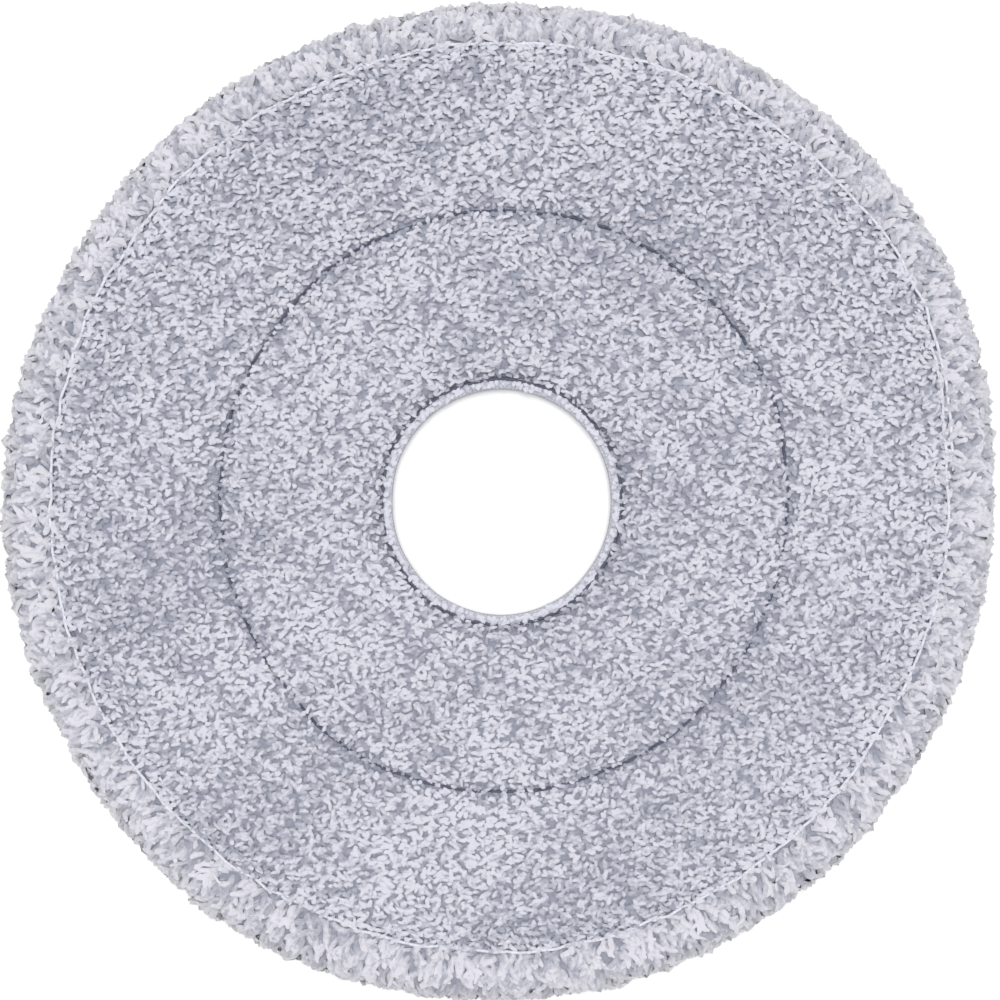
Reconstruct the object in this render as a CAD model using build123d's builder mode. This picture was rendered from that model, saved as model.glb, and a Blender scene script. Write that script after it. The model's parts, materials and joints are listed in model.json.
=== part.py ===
from build123d import *
import os

# A round, flat mop pad: a ring of pile cloth over wadding and a backing cloth, sewn in three rings.
# It lies pile side up. The origin is on the hole's axis, on the surface that the pad lies on.
# All sizes are in millimetres, and each section is drawn in X (radius) and Z (height).

# Plan of the pad
pad_diameter = 245.0
hole_diameter = 54.0
hole_hem = 2.7
inner_panel = 40.8
rim_width = 11.6

# Sewing threads: dark in the hole's seam and the ring seam, white in the edge seam
dark_thread = 0.5
white_thread = 0.8

# Cloth and wadding: a pinch is the thickness under a seam, a swell is what the panel adds to it
tape_floor = 0.3
tape_leaf = 1.3
patch_pinch = 0.7
patch_margin = 3.0
backing_thickness = 0.8
core_margin = 3.0
core_pinch = 1.0
core_swell = 2.0
core_shoulder = 4.0
pile_pinch = 1.6
pile_swell = 2.6
pile_shoulder = 3.0
crown_rise = 0.8
valley_width = 1.2
seam_allowance = 3.5
rim_pinch = 2.0
rim_leaf = 1.5
rim_bed = 1.0
rim_shoulder = 2.5
rim_swell = 1.9
rim_foot = 3.5

# Roundness of a shoulder, as shares of its own run and rise
shoulder_run = 0.3
shoulder_climb = 0.7

# Clearances and small rounds
layer_gap = 0.1
thread_gap = 0.1
edge_round = 0.3

# Radii of the seams and of the layers' edges
pad_radius = pad_diameter / 2
hole_radius = hole_diameter / 2
hole_seam = hole_radius + hole_hem
ring_seam = hole_seam + inner_panel
edge_seam = pad_radius - rim_width
dark_groove = dark_thread + 2 * thread_gap
white_groove = white_thread + 2 * thread_gap
tape_thickness = dark_groove + tape_floor
tape_edge = hole_seam + tape_leaf
layer_inner = hole_radius + tape_thickness + layer_gap
layer_outer = edge_seam + seam_allowance
patch_outer = ring_seam + patch_margin
core_inner = hole_seam + core_margin
core_outer = edge_seam - core_margin
leaf_edge = edge_seam - rim_leaf
valley_inner = ring_seam - valley_width / 2
valley_outer = ring_seam + valley_width / 2

# Heights of the layers, from the surface up
patch_top = tape_thickness + layer_gap + patch_pinch
backing_bottom = patch_top + layer_gap
backing_top = backing_bottom + backing_thickness
core_bottom = backing_top + layer_gap
core_valley = core_bottom + core_pinch
core_top = core_valley + core_swell
pile_valley = core_valley + layer_gap + pile_pinch
pile_top = core_top + layer_gap + pile_pinch + pile_swell
margin_top = core_bottom + pile_pinch
leaf_bottom = margin_top + layer_gap
lip_top = leaf_bottom + tape_thickness
rim_seat = leaf_bottom + rim_pinch
rim_top = rim_seat + rim_swell


def shoulder_point(low, high):
    """The point that rounds a shoulder between its low end and its high end."""
    run = low[0] + shoulder_run * (high[0] - low[0])
    climb = low[1] + shoulder_climb * (high[1] - low[1])
    return run, climb


def panel_line(start, end, top, shoulder):
    """Draws a panel's swelling from seam to seam: a shoulder, a low crown and a shoulder."""
    rise = (start[0] + shoulder, top - crown_rise)
    fall = (end[0] - shoulder, top - crown_rise)
    ThreePointArc(start, shoulder_point(start, rise), rise)
    ThreePointArc(rise, ((rise[0] + fall[0]) / 2, top), fall)
    ThreePointArc(fall, shoulder_point(end, fall), end)


def cut_groove(radius, height, depth):
    """Cuts a ring-shaped groove for a thread, from a height up by its depth."""
    with BuildSketch(Plane.XZ) as groove:
        with Locations((radius, height + depth / 2)):
            Rectangle(depth, depth)
    revolve(groove.sketch, axis=Axis.Z, mode=Mode.SUBTRACT)


def thread_ring(radius, height, thread):
    """A seam's thread, one strand that lies all the way round in its groove."""
    with BuildPart() as strand:
        with BuildSketch(Plane.XZ):
            with Locations((radius, height)):
                Circle(thread / 2)
        revolve(axis=Axis.Z)
    return strand


# Ring of touch-fastener loop on the back: its inner margin is pinched under the hole's tape
with BuildPart() as loop_patch:
    with BuildSketch(Plane.XZ):
        with BuildLine():
            Polyline(
                (layer_inner, patch_top),
                (layer_inner, tape_thickness + layer_gap),
                (tape_edge + layer_gap, tape_thickness + layer_gap),
                (tape_edge + layer_gap, 0),
                (patch_outer, 0),
                (patch_outer, patch_top),
                close=True,
            )
        make_face()
    revolve(axis=Axis.Z)
    cut_groove(ring_seam, 0, dark_groove)
    fillet(loop_patch.edges().filter_by(GeomType.CIRCLE).group_by(SortBy.RADIUS)[-1], edge_round)

# Cloth that closes the back
with BuildPart() as backing_cloth:
    with BuildSketch(Plane.XY.offset(backing_bottom)):
        Circle(layer_outer)
        Circle(layer_inner, mode=Mode.SUBTRACT)
    extrude(amount=backing_thickness)

# Wadding that swells in two panels and is pinched under the ring seam
with BuildPart() as absorbent_core:
    with BuildSketch(Plane.XZ):
        with BuildLine():
            Polyline((core_outer, core_valley), (core_outer, core_bottom),
                     (core_inner, core_bottom), (core_inner, core_valley))
            panel_line((core_inner, core_valley), (valley_inner, core_valley), core_top, core_shoulder)
            Line((valley_inner, core_valley), (valley_outer, core_valley))
            panel_line((valley_outer, core_valley), (core_outer, core_valley), core_top, core_shoulder)
        make_face()
    revolve(axis=Axis.Z)

# Pile cloth of the face: it follows the wadding below, and its two margins are pinched in the bindings
with BuildPart() as face_cloth:
    ground_valley = core_valley + layer_gap
    ground_top = core_top + layer_gap
    with BuildSketch(Plane.XZ):
        with BuildLine():
            Polyline((layer_inner, core_bottom), (core_inner - layer_gap, core_bottom),
                     (core_inner - layer_gap, ground_valley), (core_inner, ground_valley))
            panel_line((core_inner, ground_valley), (valley_inner, ground_valley),
                       ground_top, core_shoulder)
            Line((valley_inner, ground_valley), (valley_outer, ground_valley))
            panel_line((valley_outer, ground_valley), (core_outer, ground_valley),
                       ground_top, core_shoulder)
            Polyline((core_outer, ground_valley), (core_outer + layer_gap, ground_valley),
                     (core_outer + layer_gap, core_bottom), (layer_outer, core_bottom),
                     (layer_outer, margin_top), (leaf_edge - layer_gap, margin_top),
                     (leaf_edge - layer_gap, rim_seat))
            panel_line((valley_outer, pile_valley), (leaf_edge - layer_gap, rim_seat),
                       pile_top, pile_shoulder)
            Line((valley_outer, pile_valley), (valley_inner, pile_valley))
            panel_line((tape_edge + layer_gap, lip_top), (valley_inner, pile_valley),
                       pile_top, pile_shoulder)
            Polyline((tape_edge + layer_gap, lip_top), (tape_edge + layer_gap, margin_top),
                     (layer_inner, margin_top), (layer_inner, core_bottom))
        make_face()
    revolve(axis=Axis.Z)

# Tape folded round the hole's edge, over the face's margin and under the loop patch's margin
with BuildPart() as hole_binding:
    with BuildSketch(Plane.XZ):
        with BuildLine():
            Polyline(
                (hole_radius, 0),
                (tape_edge, 0),
                (tape_edge, tape_thickness),
                (hole_radius + tape_thickness, tape_thickness),
                (hole_radius + tape_thickness, leaf_bottom),
                (tape_edge, leaf_bottom),
                (tape_edge, lip_top),
                (hole_radius, lip_top),
                close=True,
            )
        make_face()
    revolve(axis=Axis.Z)
    cut_groove(hole_seam, 0, dark_groove)
    cut_groove(hole_seam, lip_top - dark_groove, dark_groove)
    fillet(hole_binding.edges().filter_by(GeomType.CIRCLE).group_by(SortBy.RADIUS)[0], edge_round)

# Strip of long pile folded round the outer edge: a thread bed, a rolled rim and a leaf under the back
with BuildPart() as edge_binding:
    bed_end = (edge_seam + rim_bed, rim_seat)
    rim_shelf = (edge_seam + rim_bed + rim_shoulder, rim_top)
    rim_side = (pad_radius, rim_top / 2)
    rim_under = (pad_radius - rim_foot, 0)
    with BuildSketch(Plane.XZ):
        with BuildLine():
            Line((leaf_edge, rim_seat), bed_end)
            ThreePointArc(bed_end, shoulder_point(bed_end, rim_shelf), rim_shelf)
            TangentArc(rim_side, rim_shelf, tangent=(0, 1))
            TangentArc(rim_side, rim_under, tangent=(0, -1))
            Polyline(rim_under, (leaf_edge, 0), (leaf_edge, patch_top),
                     (layer_outer + layer_gap, patch_top), (layer_outer + layer_gap, leaf_bottom),
                     (leaf_edge, leaf_bottom), (leaf_edge, rim_seat))
        make_face()
    revolve(axis=Axis.Z)
    cut_groove(edge_seam, 0, white_groove)
    cut_groove(edge_seam, rim_seat - white_groove, white_groove)

# Threads of the three seams: the needle threads on the face, the bobbin threads on the back
dark_seat = thread_gap + dark_thread / 2
white_seat = thread_gap + white_thread / 2
hole_seam_needle_thread = thread_ring(hole_seam, lip_top - dark_groove + dark_seat, dark_thread)
hole_seam_bobbin_thread = thread_ring(hole_seam, dark_seat, dark_thread)
ring_seam_needle_thread = thread_ring(ring_seam, pile_valley + dark_seat, dark_thread)
ring_seam_bobbin_thread = thread_ring(ring_seam, dark_seat, dark_thread)
edge_seam_needle_thread = thread_ring(edge_seam, rim_seat - white_groove + white_seat, white_thread)
edge_seam_bobbin_thread = thread_ring(edge_seam, white_seat, white_thread)

pieces = {
    "loop_patch": loop_patch,
    "backing_cloth": backing_cloth,
    "absorbent_core": absorbent_core,
    "face_cloth": face_cloth,
    "hole_binding": hole_binding,
    "edge_binding": edge_binding,
    "hole_seam_needle_thread": hole_seam_needle_thread,
    "hole_seam_bobbin_thread": hole_seam_bobbin_thread,
    "ring_seam_needle_thread": ring_seam_needle_thread,
    "ring_seam_bobbin_thread": ring_seam_bobbin_thread,
    "edge_seam_needle_thread": edge_seam_needle_thread,
    "edge_seam_bobbin_thread": edge_seam_bobbin_thread,
}

os.makedirs("parts", exist_ok=True)
for name, piece in pieces.items():
    piece.part.label = name
    export_step(piece.part, f"parts/{name}.step")
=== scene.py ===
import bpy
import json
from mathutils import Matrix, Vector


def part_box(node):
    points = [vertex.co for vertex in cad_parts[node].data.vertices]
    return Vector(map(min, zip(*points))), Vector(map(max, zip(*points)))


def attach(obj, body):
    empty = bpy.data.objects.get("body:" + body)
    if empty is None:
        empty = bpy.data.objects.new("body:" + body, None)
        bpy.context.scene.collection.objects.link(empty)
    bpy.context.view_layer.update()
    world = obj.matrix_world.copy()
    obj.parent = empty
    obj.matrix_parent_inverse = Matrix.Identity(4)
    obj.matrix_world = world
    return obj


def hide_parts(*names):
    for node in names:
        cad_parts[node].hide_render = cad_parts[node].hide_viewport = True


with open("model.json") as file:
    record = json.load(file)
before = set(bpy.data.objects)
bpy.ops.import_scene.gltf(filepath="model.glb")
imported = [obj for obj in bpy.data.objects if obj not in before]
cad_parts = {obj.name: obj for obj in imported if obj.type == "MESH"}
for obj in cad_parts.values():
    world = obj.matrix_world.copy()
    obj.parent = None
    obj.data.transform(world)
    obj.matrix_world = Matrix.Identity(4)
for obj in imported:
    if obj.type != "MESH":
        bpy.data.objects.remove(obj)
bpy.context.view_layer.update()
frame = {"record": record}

import json
from math import pi, tau

import bpy
import numpy as np
from bpy.props import FloatProperty, FloatVectorProperty, PointerProperty
from bpy.types import NodeSocket, Operator, Panel, PropertyGroup

bl_info = {
    "name": "Mop pad",
    "version": (1, 0, 0),
    "blender": (4, 5, 0),
    "location": "3D View > Sidebar > Mop pad",
    "description": "Dresses a round mop pad: pile, rim, tape, backing, fastener loop and seams",
    "category": "Add Mesh",
}

MM = 0.001


def ring_of(node):
    """Radius, height and thickness of a thread's ring, from its CAD box."""
    low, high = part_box(node)
    thickness = high.z - low.z
    return high.x - thickness / 2, (low.z + high.z) / 2, thickness


def extent(node):
    """Outer radius, bottom and top of a piece, from its CAD box."""
    low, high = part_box(node)
    return high.x, low.z, high.z


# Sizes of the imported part, in metres
hole_radius = frame["record"]["mounts"][0]["dims"]["r_mm"] * MM
hole_seam, hole_seam_top, _ = ring_of("hole_seam_needle_thread")
ring_seam, ring_seam_top, dark_thread = ring_of("ring_seam_needle_thread")
edge_seam, edge_seam_top, white_thread = ring_of("edge_seam_needle_thread")
dark_seam_back = ring_of("ring_seam_bobbin_thread")[1]
white_seam_back = ring_of("edge_seam_bobbin_thread")[1]
pad_radius, _, rim_top = extent("edge_binding")
tape_edge, _, lip_top = extent("hole_binding")
_, face_bottom, pile_top = extent("face_cloth")
layer_edge, backing_bottom, backing_top = extent("backing_cloth")
patch_edge, _, patch_top = extent("loop_patch")
core_edge, core_bottom, core_top = extent("absorbent_core")
core_inner = hole_seam + edge_seam - core_edge

# Edges of the cloths beside the seams that hold them
leaf_edge = edge_seam - 0.7 * MM
under_leaf = edge_seam - 1.5 * MM
lip_edge = hole_seam + 0.5 * MM
layer_inner = hole_radius + 1.1 * MM

# How far the hole, the ring seam, the edge seam and the rim stand off their circles, every 30 degrees
hole_offsets = (-0.3, 0.0, 0.25, 0.4, 0.15, -0.1, -0.45, -0.1, 0.4, 0.65, 0.5, -0.05)
ring_offsets = (-0.3, 0.9, 1.3, 0.9, 0.4, -1.0, -1.6, -1.3, 0.8, 0.7, 0.2, -0.3)
edge_offsets = (-1.2, 3.2, 2.8, 1.5, 0.8, 0.1, -0.4, -0.4, -0.4, -0.7, -2.1, -2.5)
rim_offsets = (-1.3, 2.0, 1.4, -0.2, -0.3, -1.1, 0.3, 0.0, 1.8, 0.3, -1.0, -1.6)

# Turn of the pile's rows, and how many times as long along them as across them its patches are
row_turn = 17 / 360 * tau
row_stretch = 2.6

# How far a tuft's normals lean its own way out, and how much flatter than round it is below
fluff_turn = 0.45
flat_below = 0.65

# Tone on a four-sided tuft's side, top, side and bottom, and on a six-sided one all round: painted light and
# shade, the top lighter and the sides and underside darker as if lit from above, with none painted on the
# six-sided ones
face_flank_shade = (0.74, 1.06, 0.74, 0.6)
rim_flank_shade = (0.76, 1.06, 0.76, 0.6)
plain_flanks = (1.0,) * 6

# How deep tufts are rooted in their ground, and the least height of the rim's tufts over the floor
root_depth = 0.3 * MM
off_floor = 0.05 * MM

# Share of the rim's tufts that are blue, and how much lower their tone is
rim_blue = 0.28
blue_dip = 0.36

# Rows and turns of the face's ground
cover_rows = 64
cover_turns = 420
cover_radii = np.linspace(lip_edge, leaf_edge - 0.1 * MM, cover_rows)


def measure(name, description, default, least):
    """A length property with a name, a description, its default and its least value."""
    return FloatProperty(
        name=name, description=description, default=default, min=least, unit="LENGTH", precision=5)


class PadSizes(PropertyGroup):
    """Sizes of the pile and the stitches."""

    tuft_pitch: measure("Tuft pitch", "Distance between the face's white tufts", 1.36 * MM, 0.5 * MM)
    tuft_length: measure("Tuft length", "How far a tuft of the face lies over", 2.1 * MM, MM)
    tuft_width: measure("Tuft width", "Thickness of a tuft of the face", 1.06 * MM, 0.2 * MM)
    tuft_stand: measure("Tuft stand", "How high the tufts stand over the face's ground", 1.9 * MM, MM)
    lock_pitch: measure("Lock pitch", "Distance between locks of the rim", 1.42 * MM, MM)
    lock_length: measure("Lock length", "Length of a lock of the rim", 4.2 * MM, MM)
    lock_width: measure("Lock width", "Thickness of a lock of the rim", 1.45 * MM, 0.2 * MM)
    lock_stand: measure("Lock stand", "How far the locks stand off the rim's ground", 2.2 * MM, MM)
    white_stitch: measure("White stitch", "Length of a stitch of the edge seam", 4.1 * MM, MM)
    dark_stitch: measure("Dark stitch", "Length of a stitch of the dark seams", 4.2 * MM, MM)
    swell_limit: measure("Swell limit", "How far the simulation may move the face's ground", 0.7 * MM, 0.0)
    view_width: measure("View width", "Width of what the camera takes in at the pad", 0.2455, 0.1)


def colour(name, description, default):
    """A colour property with a name, a description and its default."""
    return FloatVectorProperty(
        name=name, description=description, default=default, subtype="COLOR", min=0.0, max=1.0)


class PadColours(PropertyGroup):
    """Colours of the cloths and threads."""

    # The pile's colours from root to tip are partly the yarn's blue-grey and white, and partly painted shade
    # that deepens towards the roots
    pile_deep: colour("Pile roots", "Colour deep between the tufts", (0.284, 0.302, 0.378))
    pile_mid: colour("Pile sides", "Colour half-way up a tuft", (0.402, 0.409, 0.476))
    pile_tip: colour("Pile tips", "Colour of the tufts' tips", (0.694, 0.694, 0.772))
    rim_tip: colour("Rim tips", "Colour of the rim's tips", (0.732, 0.719, 0.780))
    tape: colour("Tape", "Colour of the lip round the hole", (0.58, 0.588, 0.65))
    backing: colour("Backing", "Colour of the cloth on the back", (0.57, 0.58, 0.64))
    loop: colour("Loop", "Colour of the touch fastener's loops", (0.030, 0.033, 0.045))
    wadding: colour("Wadding", "Colour of the filling", (0.82, 0.82, 0.82))
    white_thread: colour("White thread", "Colour of the edge seam's thread", (0.76, 0.76, 0.82))
    dark_thread: colour("Dark thread", "Colour of the dark seams' thread", (0.112, 0.121, 0.166))
    floor: colour("Floor", "Colour of the floor", (0.93, 0.93, 0.93))


# Shapes


def ring_wave(angle, offsets):
    """A smooth closed wave through even offsets in millimetres: a cosine ease from each to the next."""
    offsets = np.array(offsets) * MM
    step = np.mod(angle, tau) / tau * len(offsets)
    low = np.floor(step).astype(int)
    share = 0.5 - 0.5 * np.cos(pi * (step - low))
    return offsets[low % len(offsets)] * (1 - share) + offsets[(low + 1) % len(offsets)] * share


def lay(radius, angle, height):
    """Points at radii, angles and heights of the round pad, moved in or out with the seams beside them.

    The move is the hole's wave at the hole, and runs straight to the next seam's wave at that seam.
    """
    radius, angle, height = np.broadcast_arrays(radius, angle, height)
    rings = (hole_radius, ring_seam, edge_seam, pad_radius)
    waves = [ring_wave(angle, o) for o in (hole_offsets, ring_offsets, edge_offsets, rim_offsets)]
    move = waves[0]
    for k in range(len(rings) - 1):
        share = np.clip((radius - rings[k]) / (rings[k + 1] - rings[k]), 0, 1)
        move = move + share * (waves[k + 1] - waves[k])
    radius = radius + move
    return np.stack((radius * np.cos(angle), radius * np.sin(angle), height), axis=-1)


def heading(angle):
    """Level unit vectors at angles."""
    return np.stack((np.cos(angle), np.sin(angle), 0 * angle), axis=-1)


def rounded_rise(distance, run):
    """A quarter ellipse: 0 at no distance, steep at first, 1 from the end of the run on."""
    return np.sqrt(1 - (1 - np.clip(distance / run, 0, 1)) ** 2)


def hill(distance, width):
    """A bell curve: 1 at no distance, and exp(-1) a width away."""
    return np.exp(-(distance / width) ** 2)


def drift(points, wavelength, rng):
    """A soft random field of about unit size: a sum of plane waves of like length, each its own way."""
    count = 9
    turn = rng.uniform(0, tau, count)
    rate = tau / wavelength * rng.uniform(0.7, 1.4, count)
    phase = rng.uniform(0, tau, count)
    waves = points[..., :1] * rate * np.cos(turn) + points[..., 1:2] * rate * np.sin(turn) + phase
    return np.cos(waves).sum(axis=-1) * (2 / count) ** 0.5


def along_rows(points):
    """Places along and across the pile's rows, the way along shortened so that patches run along the rows."""
    along = points[..., 0] * np.cos(row_turn) + points[..., 1] * np.sin(row_turn)
    across = points[..., 1] * np.cos(row_turn) - points[..., 0] * np.sin(row_turn)
    return np.stack((along / row_stretch, across), axis=-1)


def unit(vectors):
    """Vectors scaled to length one."""
    return vectors / np.maximum(np.linalg.norm(vectors, axis=-1, keepdims=True), 1e-12)


def grid_faces(rows, columns, rows_close, columns_close):
    """Quads of a grid of points, with its last row or column joined to its first where it closes."""
    i = np.arange(rows if rows_close else rows - 1)[:, None]
    j = np.arange(columns if columns_close else columns - 1)[None, :]
    i, j = np.broadcast_arrays(i, j)
    above, beside = (i + 1) % rows, (j + 1) % columns
    corners = (i * columns + j, i * columns + beside, above * columns + beside, above * columns + j)
    return np.stack(corners, axis=-1).reshape(-1, 4)


def cap_faces(sides):
    """Quads that close a ring of an even number of points: each shares the first point."""
    k = np.arange((sides - 2) // 2)
    return np.stack((0 * k, 2 * k + 1, 2 * k + 2, 2 * k + 3), axis=-1)


def make_piece(name, points, faces, material, slot, node=None, values=None, maps=None, normals=None):
    """A piece of the pad from arrays of points and quads, with values on points and maps on corners."""
    mesh = bpy.data.meshes.new(name)
    mesh.vertices.add(len(points))
    mesh.vertices.foreach_set("co", np.asarray(points, np.float32).ravel())
    mesh.loops.add(faces.size)
    mesh.loops.foreach_set("vertex_index", faces.astype(np.int32).ravel())
    mesh.polygons.add(len(faces))
    mesh.polygons.foreach_set("loop_start", np.arange(0, faces.size, 4, dtype=np.int32))
    mesh.update(calc_edges=True)
    mesh.shade_smooth()
    for key, value in (values or {}).items():
        layer = mesh.attributes.new(key, "FLOAT", "POINT")
        layer.data.foreach_set("value", np.asarray(value, np.float32).ravel())
    for key, value in (maps or {}).items():
        layer = mesh.uv_layers.new(name=key)
        layer.uv.foreach_set("vector", np.asarray(value, np.float32).ravel())
    if normals is not None:
        mesh.normals_split_custom_set_from_vertices(normals.tolist())
    mesh.materials.append(material)
    piece = bpy.data.objects.new(name, mesh)
    bpy.context.scene.collection.objects.link(piece)
    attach(piece, "root")
    if node:
        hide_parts(node)
    return piece


def pile_piece(name, shape, tone, rise, flanks, material, slot):
    """A piece of many tufts. A point's tone is its tuft's x the rise at its stop x its flank's. The rise
    darkens towards the root, partly the yarn's blue-grey and partly painted shade deep in the pile; the
    flanks paint shade on the sides and underside.
    """
    points, faces, cells, normals = shape
    points[:, 2] = np.maximum(points[:, 2], off_floor)
    value = tone[:, None, None] * np.asarray(rise)[:, None] * np.asarray(flanks)
    return make_piece(name, points, faces, material, slot,
                      values={"tone": value}, maps={"OFBake": cells}, normals=normals)


def ring_piece(name, points, material, slot, node, maps=None):
    """A piece whose closed section is carried round the pad, from points[section, turn]."""
    faces = grid_faces(*points.shape[:2], True, True)
    return make_piece(name, points.reshape(-1, 3), faces, material, slot, node, maps=maps)


def carried_round(radii, heights, count):
    """A section, anticlockwise in radius and height, carried round the pad: points[section, turn]."""
    angle = np.arange(count) / count * tau
    return lay(np.asarray(radii)[:, None], angle[None, :], np.asarray(heights)[:, None])


def ring_maps(radii, heights, count):
    """A cloth map in metres for a closed section carried round: along is the arc, across the section."""
    radii, heights = np.asarray(radii), np.asarray(heights)
    steps = np.hypot(np.diff(np.append(radii, radii[0])), np.diff(np.append(heights, heights[0])))
    across = np.concatenate(([0.0], np.cumsum(steps)))
    along = np.arange(count + 1) / count * tau * np.median(radii)
    rows = len(radii)
    i = np.repeat(np.arange(rows), count)
    j = np.tile(np.arange(count), rows)
    u = np.stack((along[j], along[j + 1], along[j + 1], along[j]), axis=-1)
    v = np.stack((across[i], across[i], across[i + 1], across[i + 1]), axis=-1)
    return np.stack((u, v), axis=-1)


def planted(pitch, inner, outer, shake, rng):
    """Radii and angles of tufts' roots: staggered rows on the pile's turn, shaken, between two radii."""
    count = int(2 * outer / pitch) + 4
    line = (np.arange(count) - count / 2) * pitch
    x, y = np.meshgrid(line, line)
    x = x + 0.5 * pitch * (np.arange(count)[:, None] % 2)
    x = x + rng.uniform(-shake, shake, x.shape) * pitch
    y = y + rng.uniform(-shake, shake, x.shape) * pitch
    x, y = x * np.cos(row_turn) - y * np.sin(row_turn), x * np.sin(row_turn) + y * np.cos(row_turn)
    radius, angle = np.hypot(x, y), np.mod(np.arctan2(y, x), tau)
    kept = (radius > inner) & (radius < outer)
    return radius[kept], angle[kept]


def staggered(rows, turns, rng):
    """Angles of tufts in rows round the pad: every other row is moved half a step, and each tuft shaken."""
    shake = rng.uniform(-0.4, 0.4, (rows, turns))
    return (np.arange(turns)[None] + 0.5 * (np.arange(rows)[:, None] % 2) + shake) / turns * tau


def sampled(grid, radii, radius, angle):
    """Values of a polar grid at radii and angles, in proportion between the four nearest points."""
    rows, count = grid.shape[:2]
    i = np.clip(np.interp(radius, radii, np.arange(rows)), 0, rows - 1.001)
    j = np.mod(angle, tau) / tau * count
    i0, j0 = np.floor(i).astype(int), np.floor(j).astype(int)
    p, q = (i - i0)[:, None], (j - j0)[:, None]
    j0, j1 = j0 % count, (j0 + 1) % count
    low = grid[i0, j0] * (1 - q) + grid[i0, j1] * q
    high = grid[i0 + 1, j0] * (1 - q) + grid[i0 + 1, j1] * q
    return low * (1 - p) + high * p


def surface_normals(grid):
    """Normals of a polar grid: the cross product of its steps outward and round."""
    outward = np.gradient(grid, axis=0)
    round_ = np.roll(grid, -1, axis=1) - np.roll(grid, 1, axis=1)
    return unit(np.cross(outward, round_))


def smooth_through(place, value, fine):
    """A smooth curve through values at even places: each span is a cubic with its neighbours' slopes."""
    slope = np.gradient(value, place)
    step = place[1] - place[0]
    i = np.clip(((fine - place[0]) / step).astype(int), 0, len(place) - 2)
    t = (fine - place[i]) / step
    return ((1 + 2 * t) * (1 - t) ** 2 * value[i] + t * (1 - t) ** 2 * step * slope[i]
            + t**2 * (3 - 2 * t) * value[i + 1] + t**2 * (t - 1) * step * slope[i + 1])


def laid_along(up, lean):
    """The part of a lean that lies along the cloth, as a unit vector, and the direction across it."""
    lean = unit(lean - up * (lean * up).sum(axis=-1, keepdims=True))
    return lean, np.cross(up, lean)


def leaning_lines(roots, up, lean, length, tilt, curl, wiggle, stops):
    """Middle lines of standing tufts, lines[tuft, stop], and each tuft's direction across.

    A line is root + length x (up x (t - curl t^2 / 3) + lean x (tilt t + curl t^2)
    + across x wiggle sin(pi t)).
    """
    t = np.asarray(stops)[None, :, None]
    lean, across = laid_along(up, lean)
    length, tilt, curl, wiggle = (value[:, None, None] for value in (length, tilt, curl, wiggle))
    line = up[:, None] * (t - curl * t**2 / 3) + lean[:, None] * (tilt * t + curl * t**2)
    return roots[:, None] + length * (line + across[:, None] * wiggle * np.sin(pi * t)), across


def bent_lines(roots, up, lean, stand, reach, bend, stops):
    """Middle lines of tufts that rise and then lie over, lines[tuft, stop], and each tuft's direction across.

    A line is root + up x stand x sin(pi / 2 x min(1, 1.8 t)) + lean x reach x t^1.4
    + across x bend sin(pi t).
    """
    t = np.asarray(stops)[None, :, None]
    lean, across = laid_along(up, lean)
    stand, reach, bend = (value[:, None, None] for value in (stand, reach, bend))
    line = up[:, None] * stand * np.sin(pi / 2 * np.minimum(1, 1.8 * t)) + lean[:, None] * reach * t**1.4
    return roots[:, None] + line + across[:, None] * bend * np.sin(pi * t), across


def tufts(lines, across, up, width, girths, rng, sides=6):
    """Round-tipped tufts as points, quads, a map cell for each tuft, and normals.

    Round each middle line lies a ring of points at each stop, as wide as its girth, a little uneven and
    flatter below. Fluff scatters light, so the normals lean from each ring's own way out towards the
    cloth's up, apart from the lowest ones.
    """
    uneven, cell_margin = 0.28, 0.08
    ahead = unit(np.gradient(lines, axis=1))
    across = across[:, None]
    first = unit(across - ahead * (across * ahead).sum(axis=-1, keepdims=True))
    second = np.cross(ahead, first)
    count, rings = lines.shape[:2]
    phi = (np.arange(sides) / sides * tau)[None, None, :, None]
    girth = (width[:, None] * np.asarray(girths)[None, :] / 2)[:, :, None, None]
    girth = girth * (1 + rng.uniform(-uneven, uneven, (count, rings, sides, 1)))
    outward = np.cos(phi) * first[:, :, None] + np.sin(phi) * second[:, :, None]
    below = np.minimum(np.sin(phi), 0)
    points = lines[:, :, None] + girth * (1 + flat_below * below) * outward
    normals = unit(fluff_turn * outward + (1 + below) * up[:, None, None])
    cap = cap_faces(sides)
    wall = grid_faces(rings, sides, False, True)
    one = np.concatenate((cap[:, ::-1], wall, cap + (rings - 1) * sides))
    faces = (one[None] + (np.arange(count) * rings * sides)[:, None, None]).reshape(-1, 4)
    row, column = np.divmod(one, sides)
    column = column.astype(float)
    column[len(cap):-len(cap), 1:3] = column[len(cap):-len(cap), :1] + 1
    local = np.stack((column / sides, row / (rings - 1)), axis=-1) * (1 - 2 * cell_margin) + cell_margin
    cells = int(np.ceil(count ** 0.5))
    place = np.stack((np.arange(count) % cells, np.arange(count) // cells), axis=-1)
    cell_map = (place[:, None, None] + local[None]) / cells
    return points.reshape(-1, 3), faces, cell_map.reshape(-1, 2), normals.reshape(-1, 3)


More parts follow.
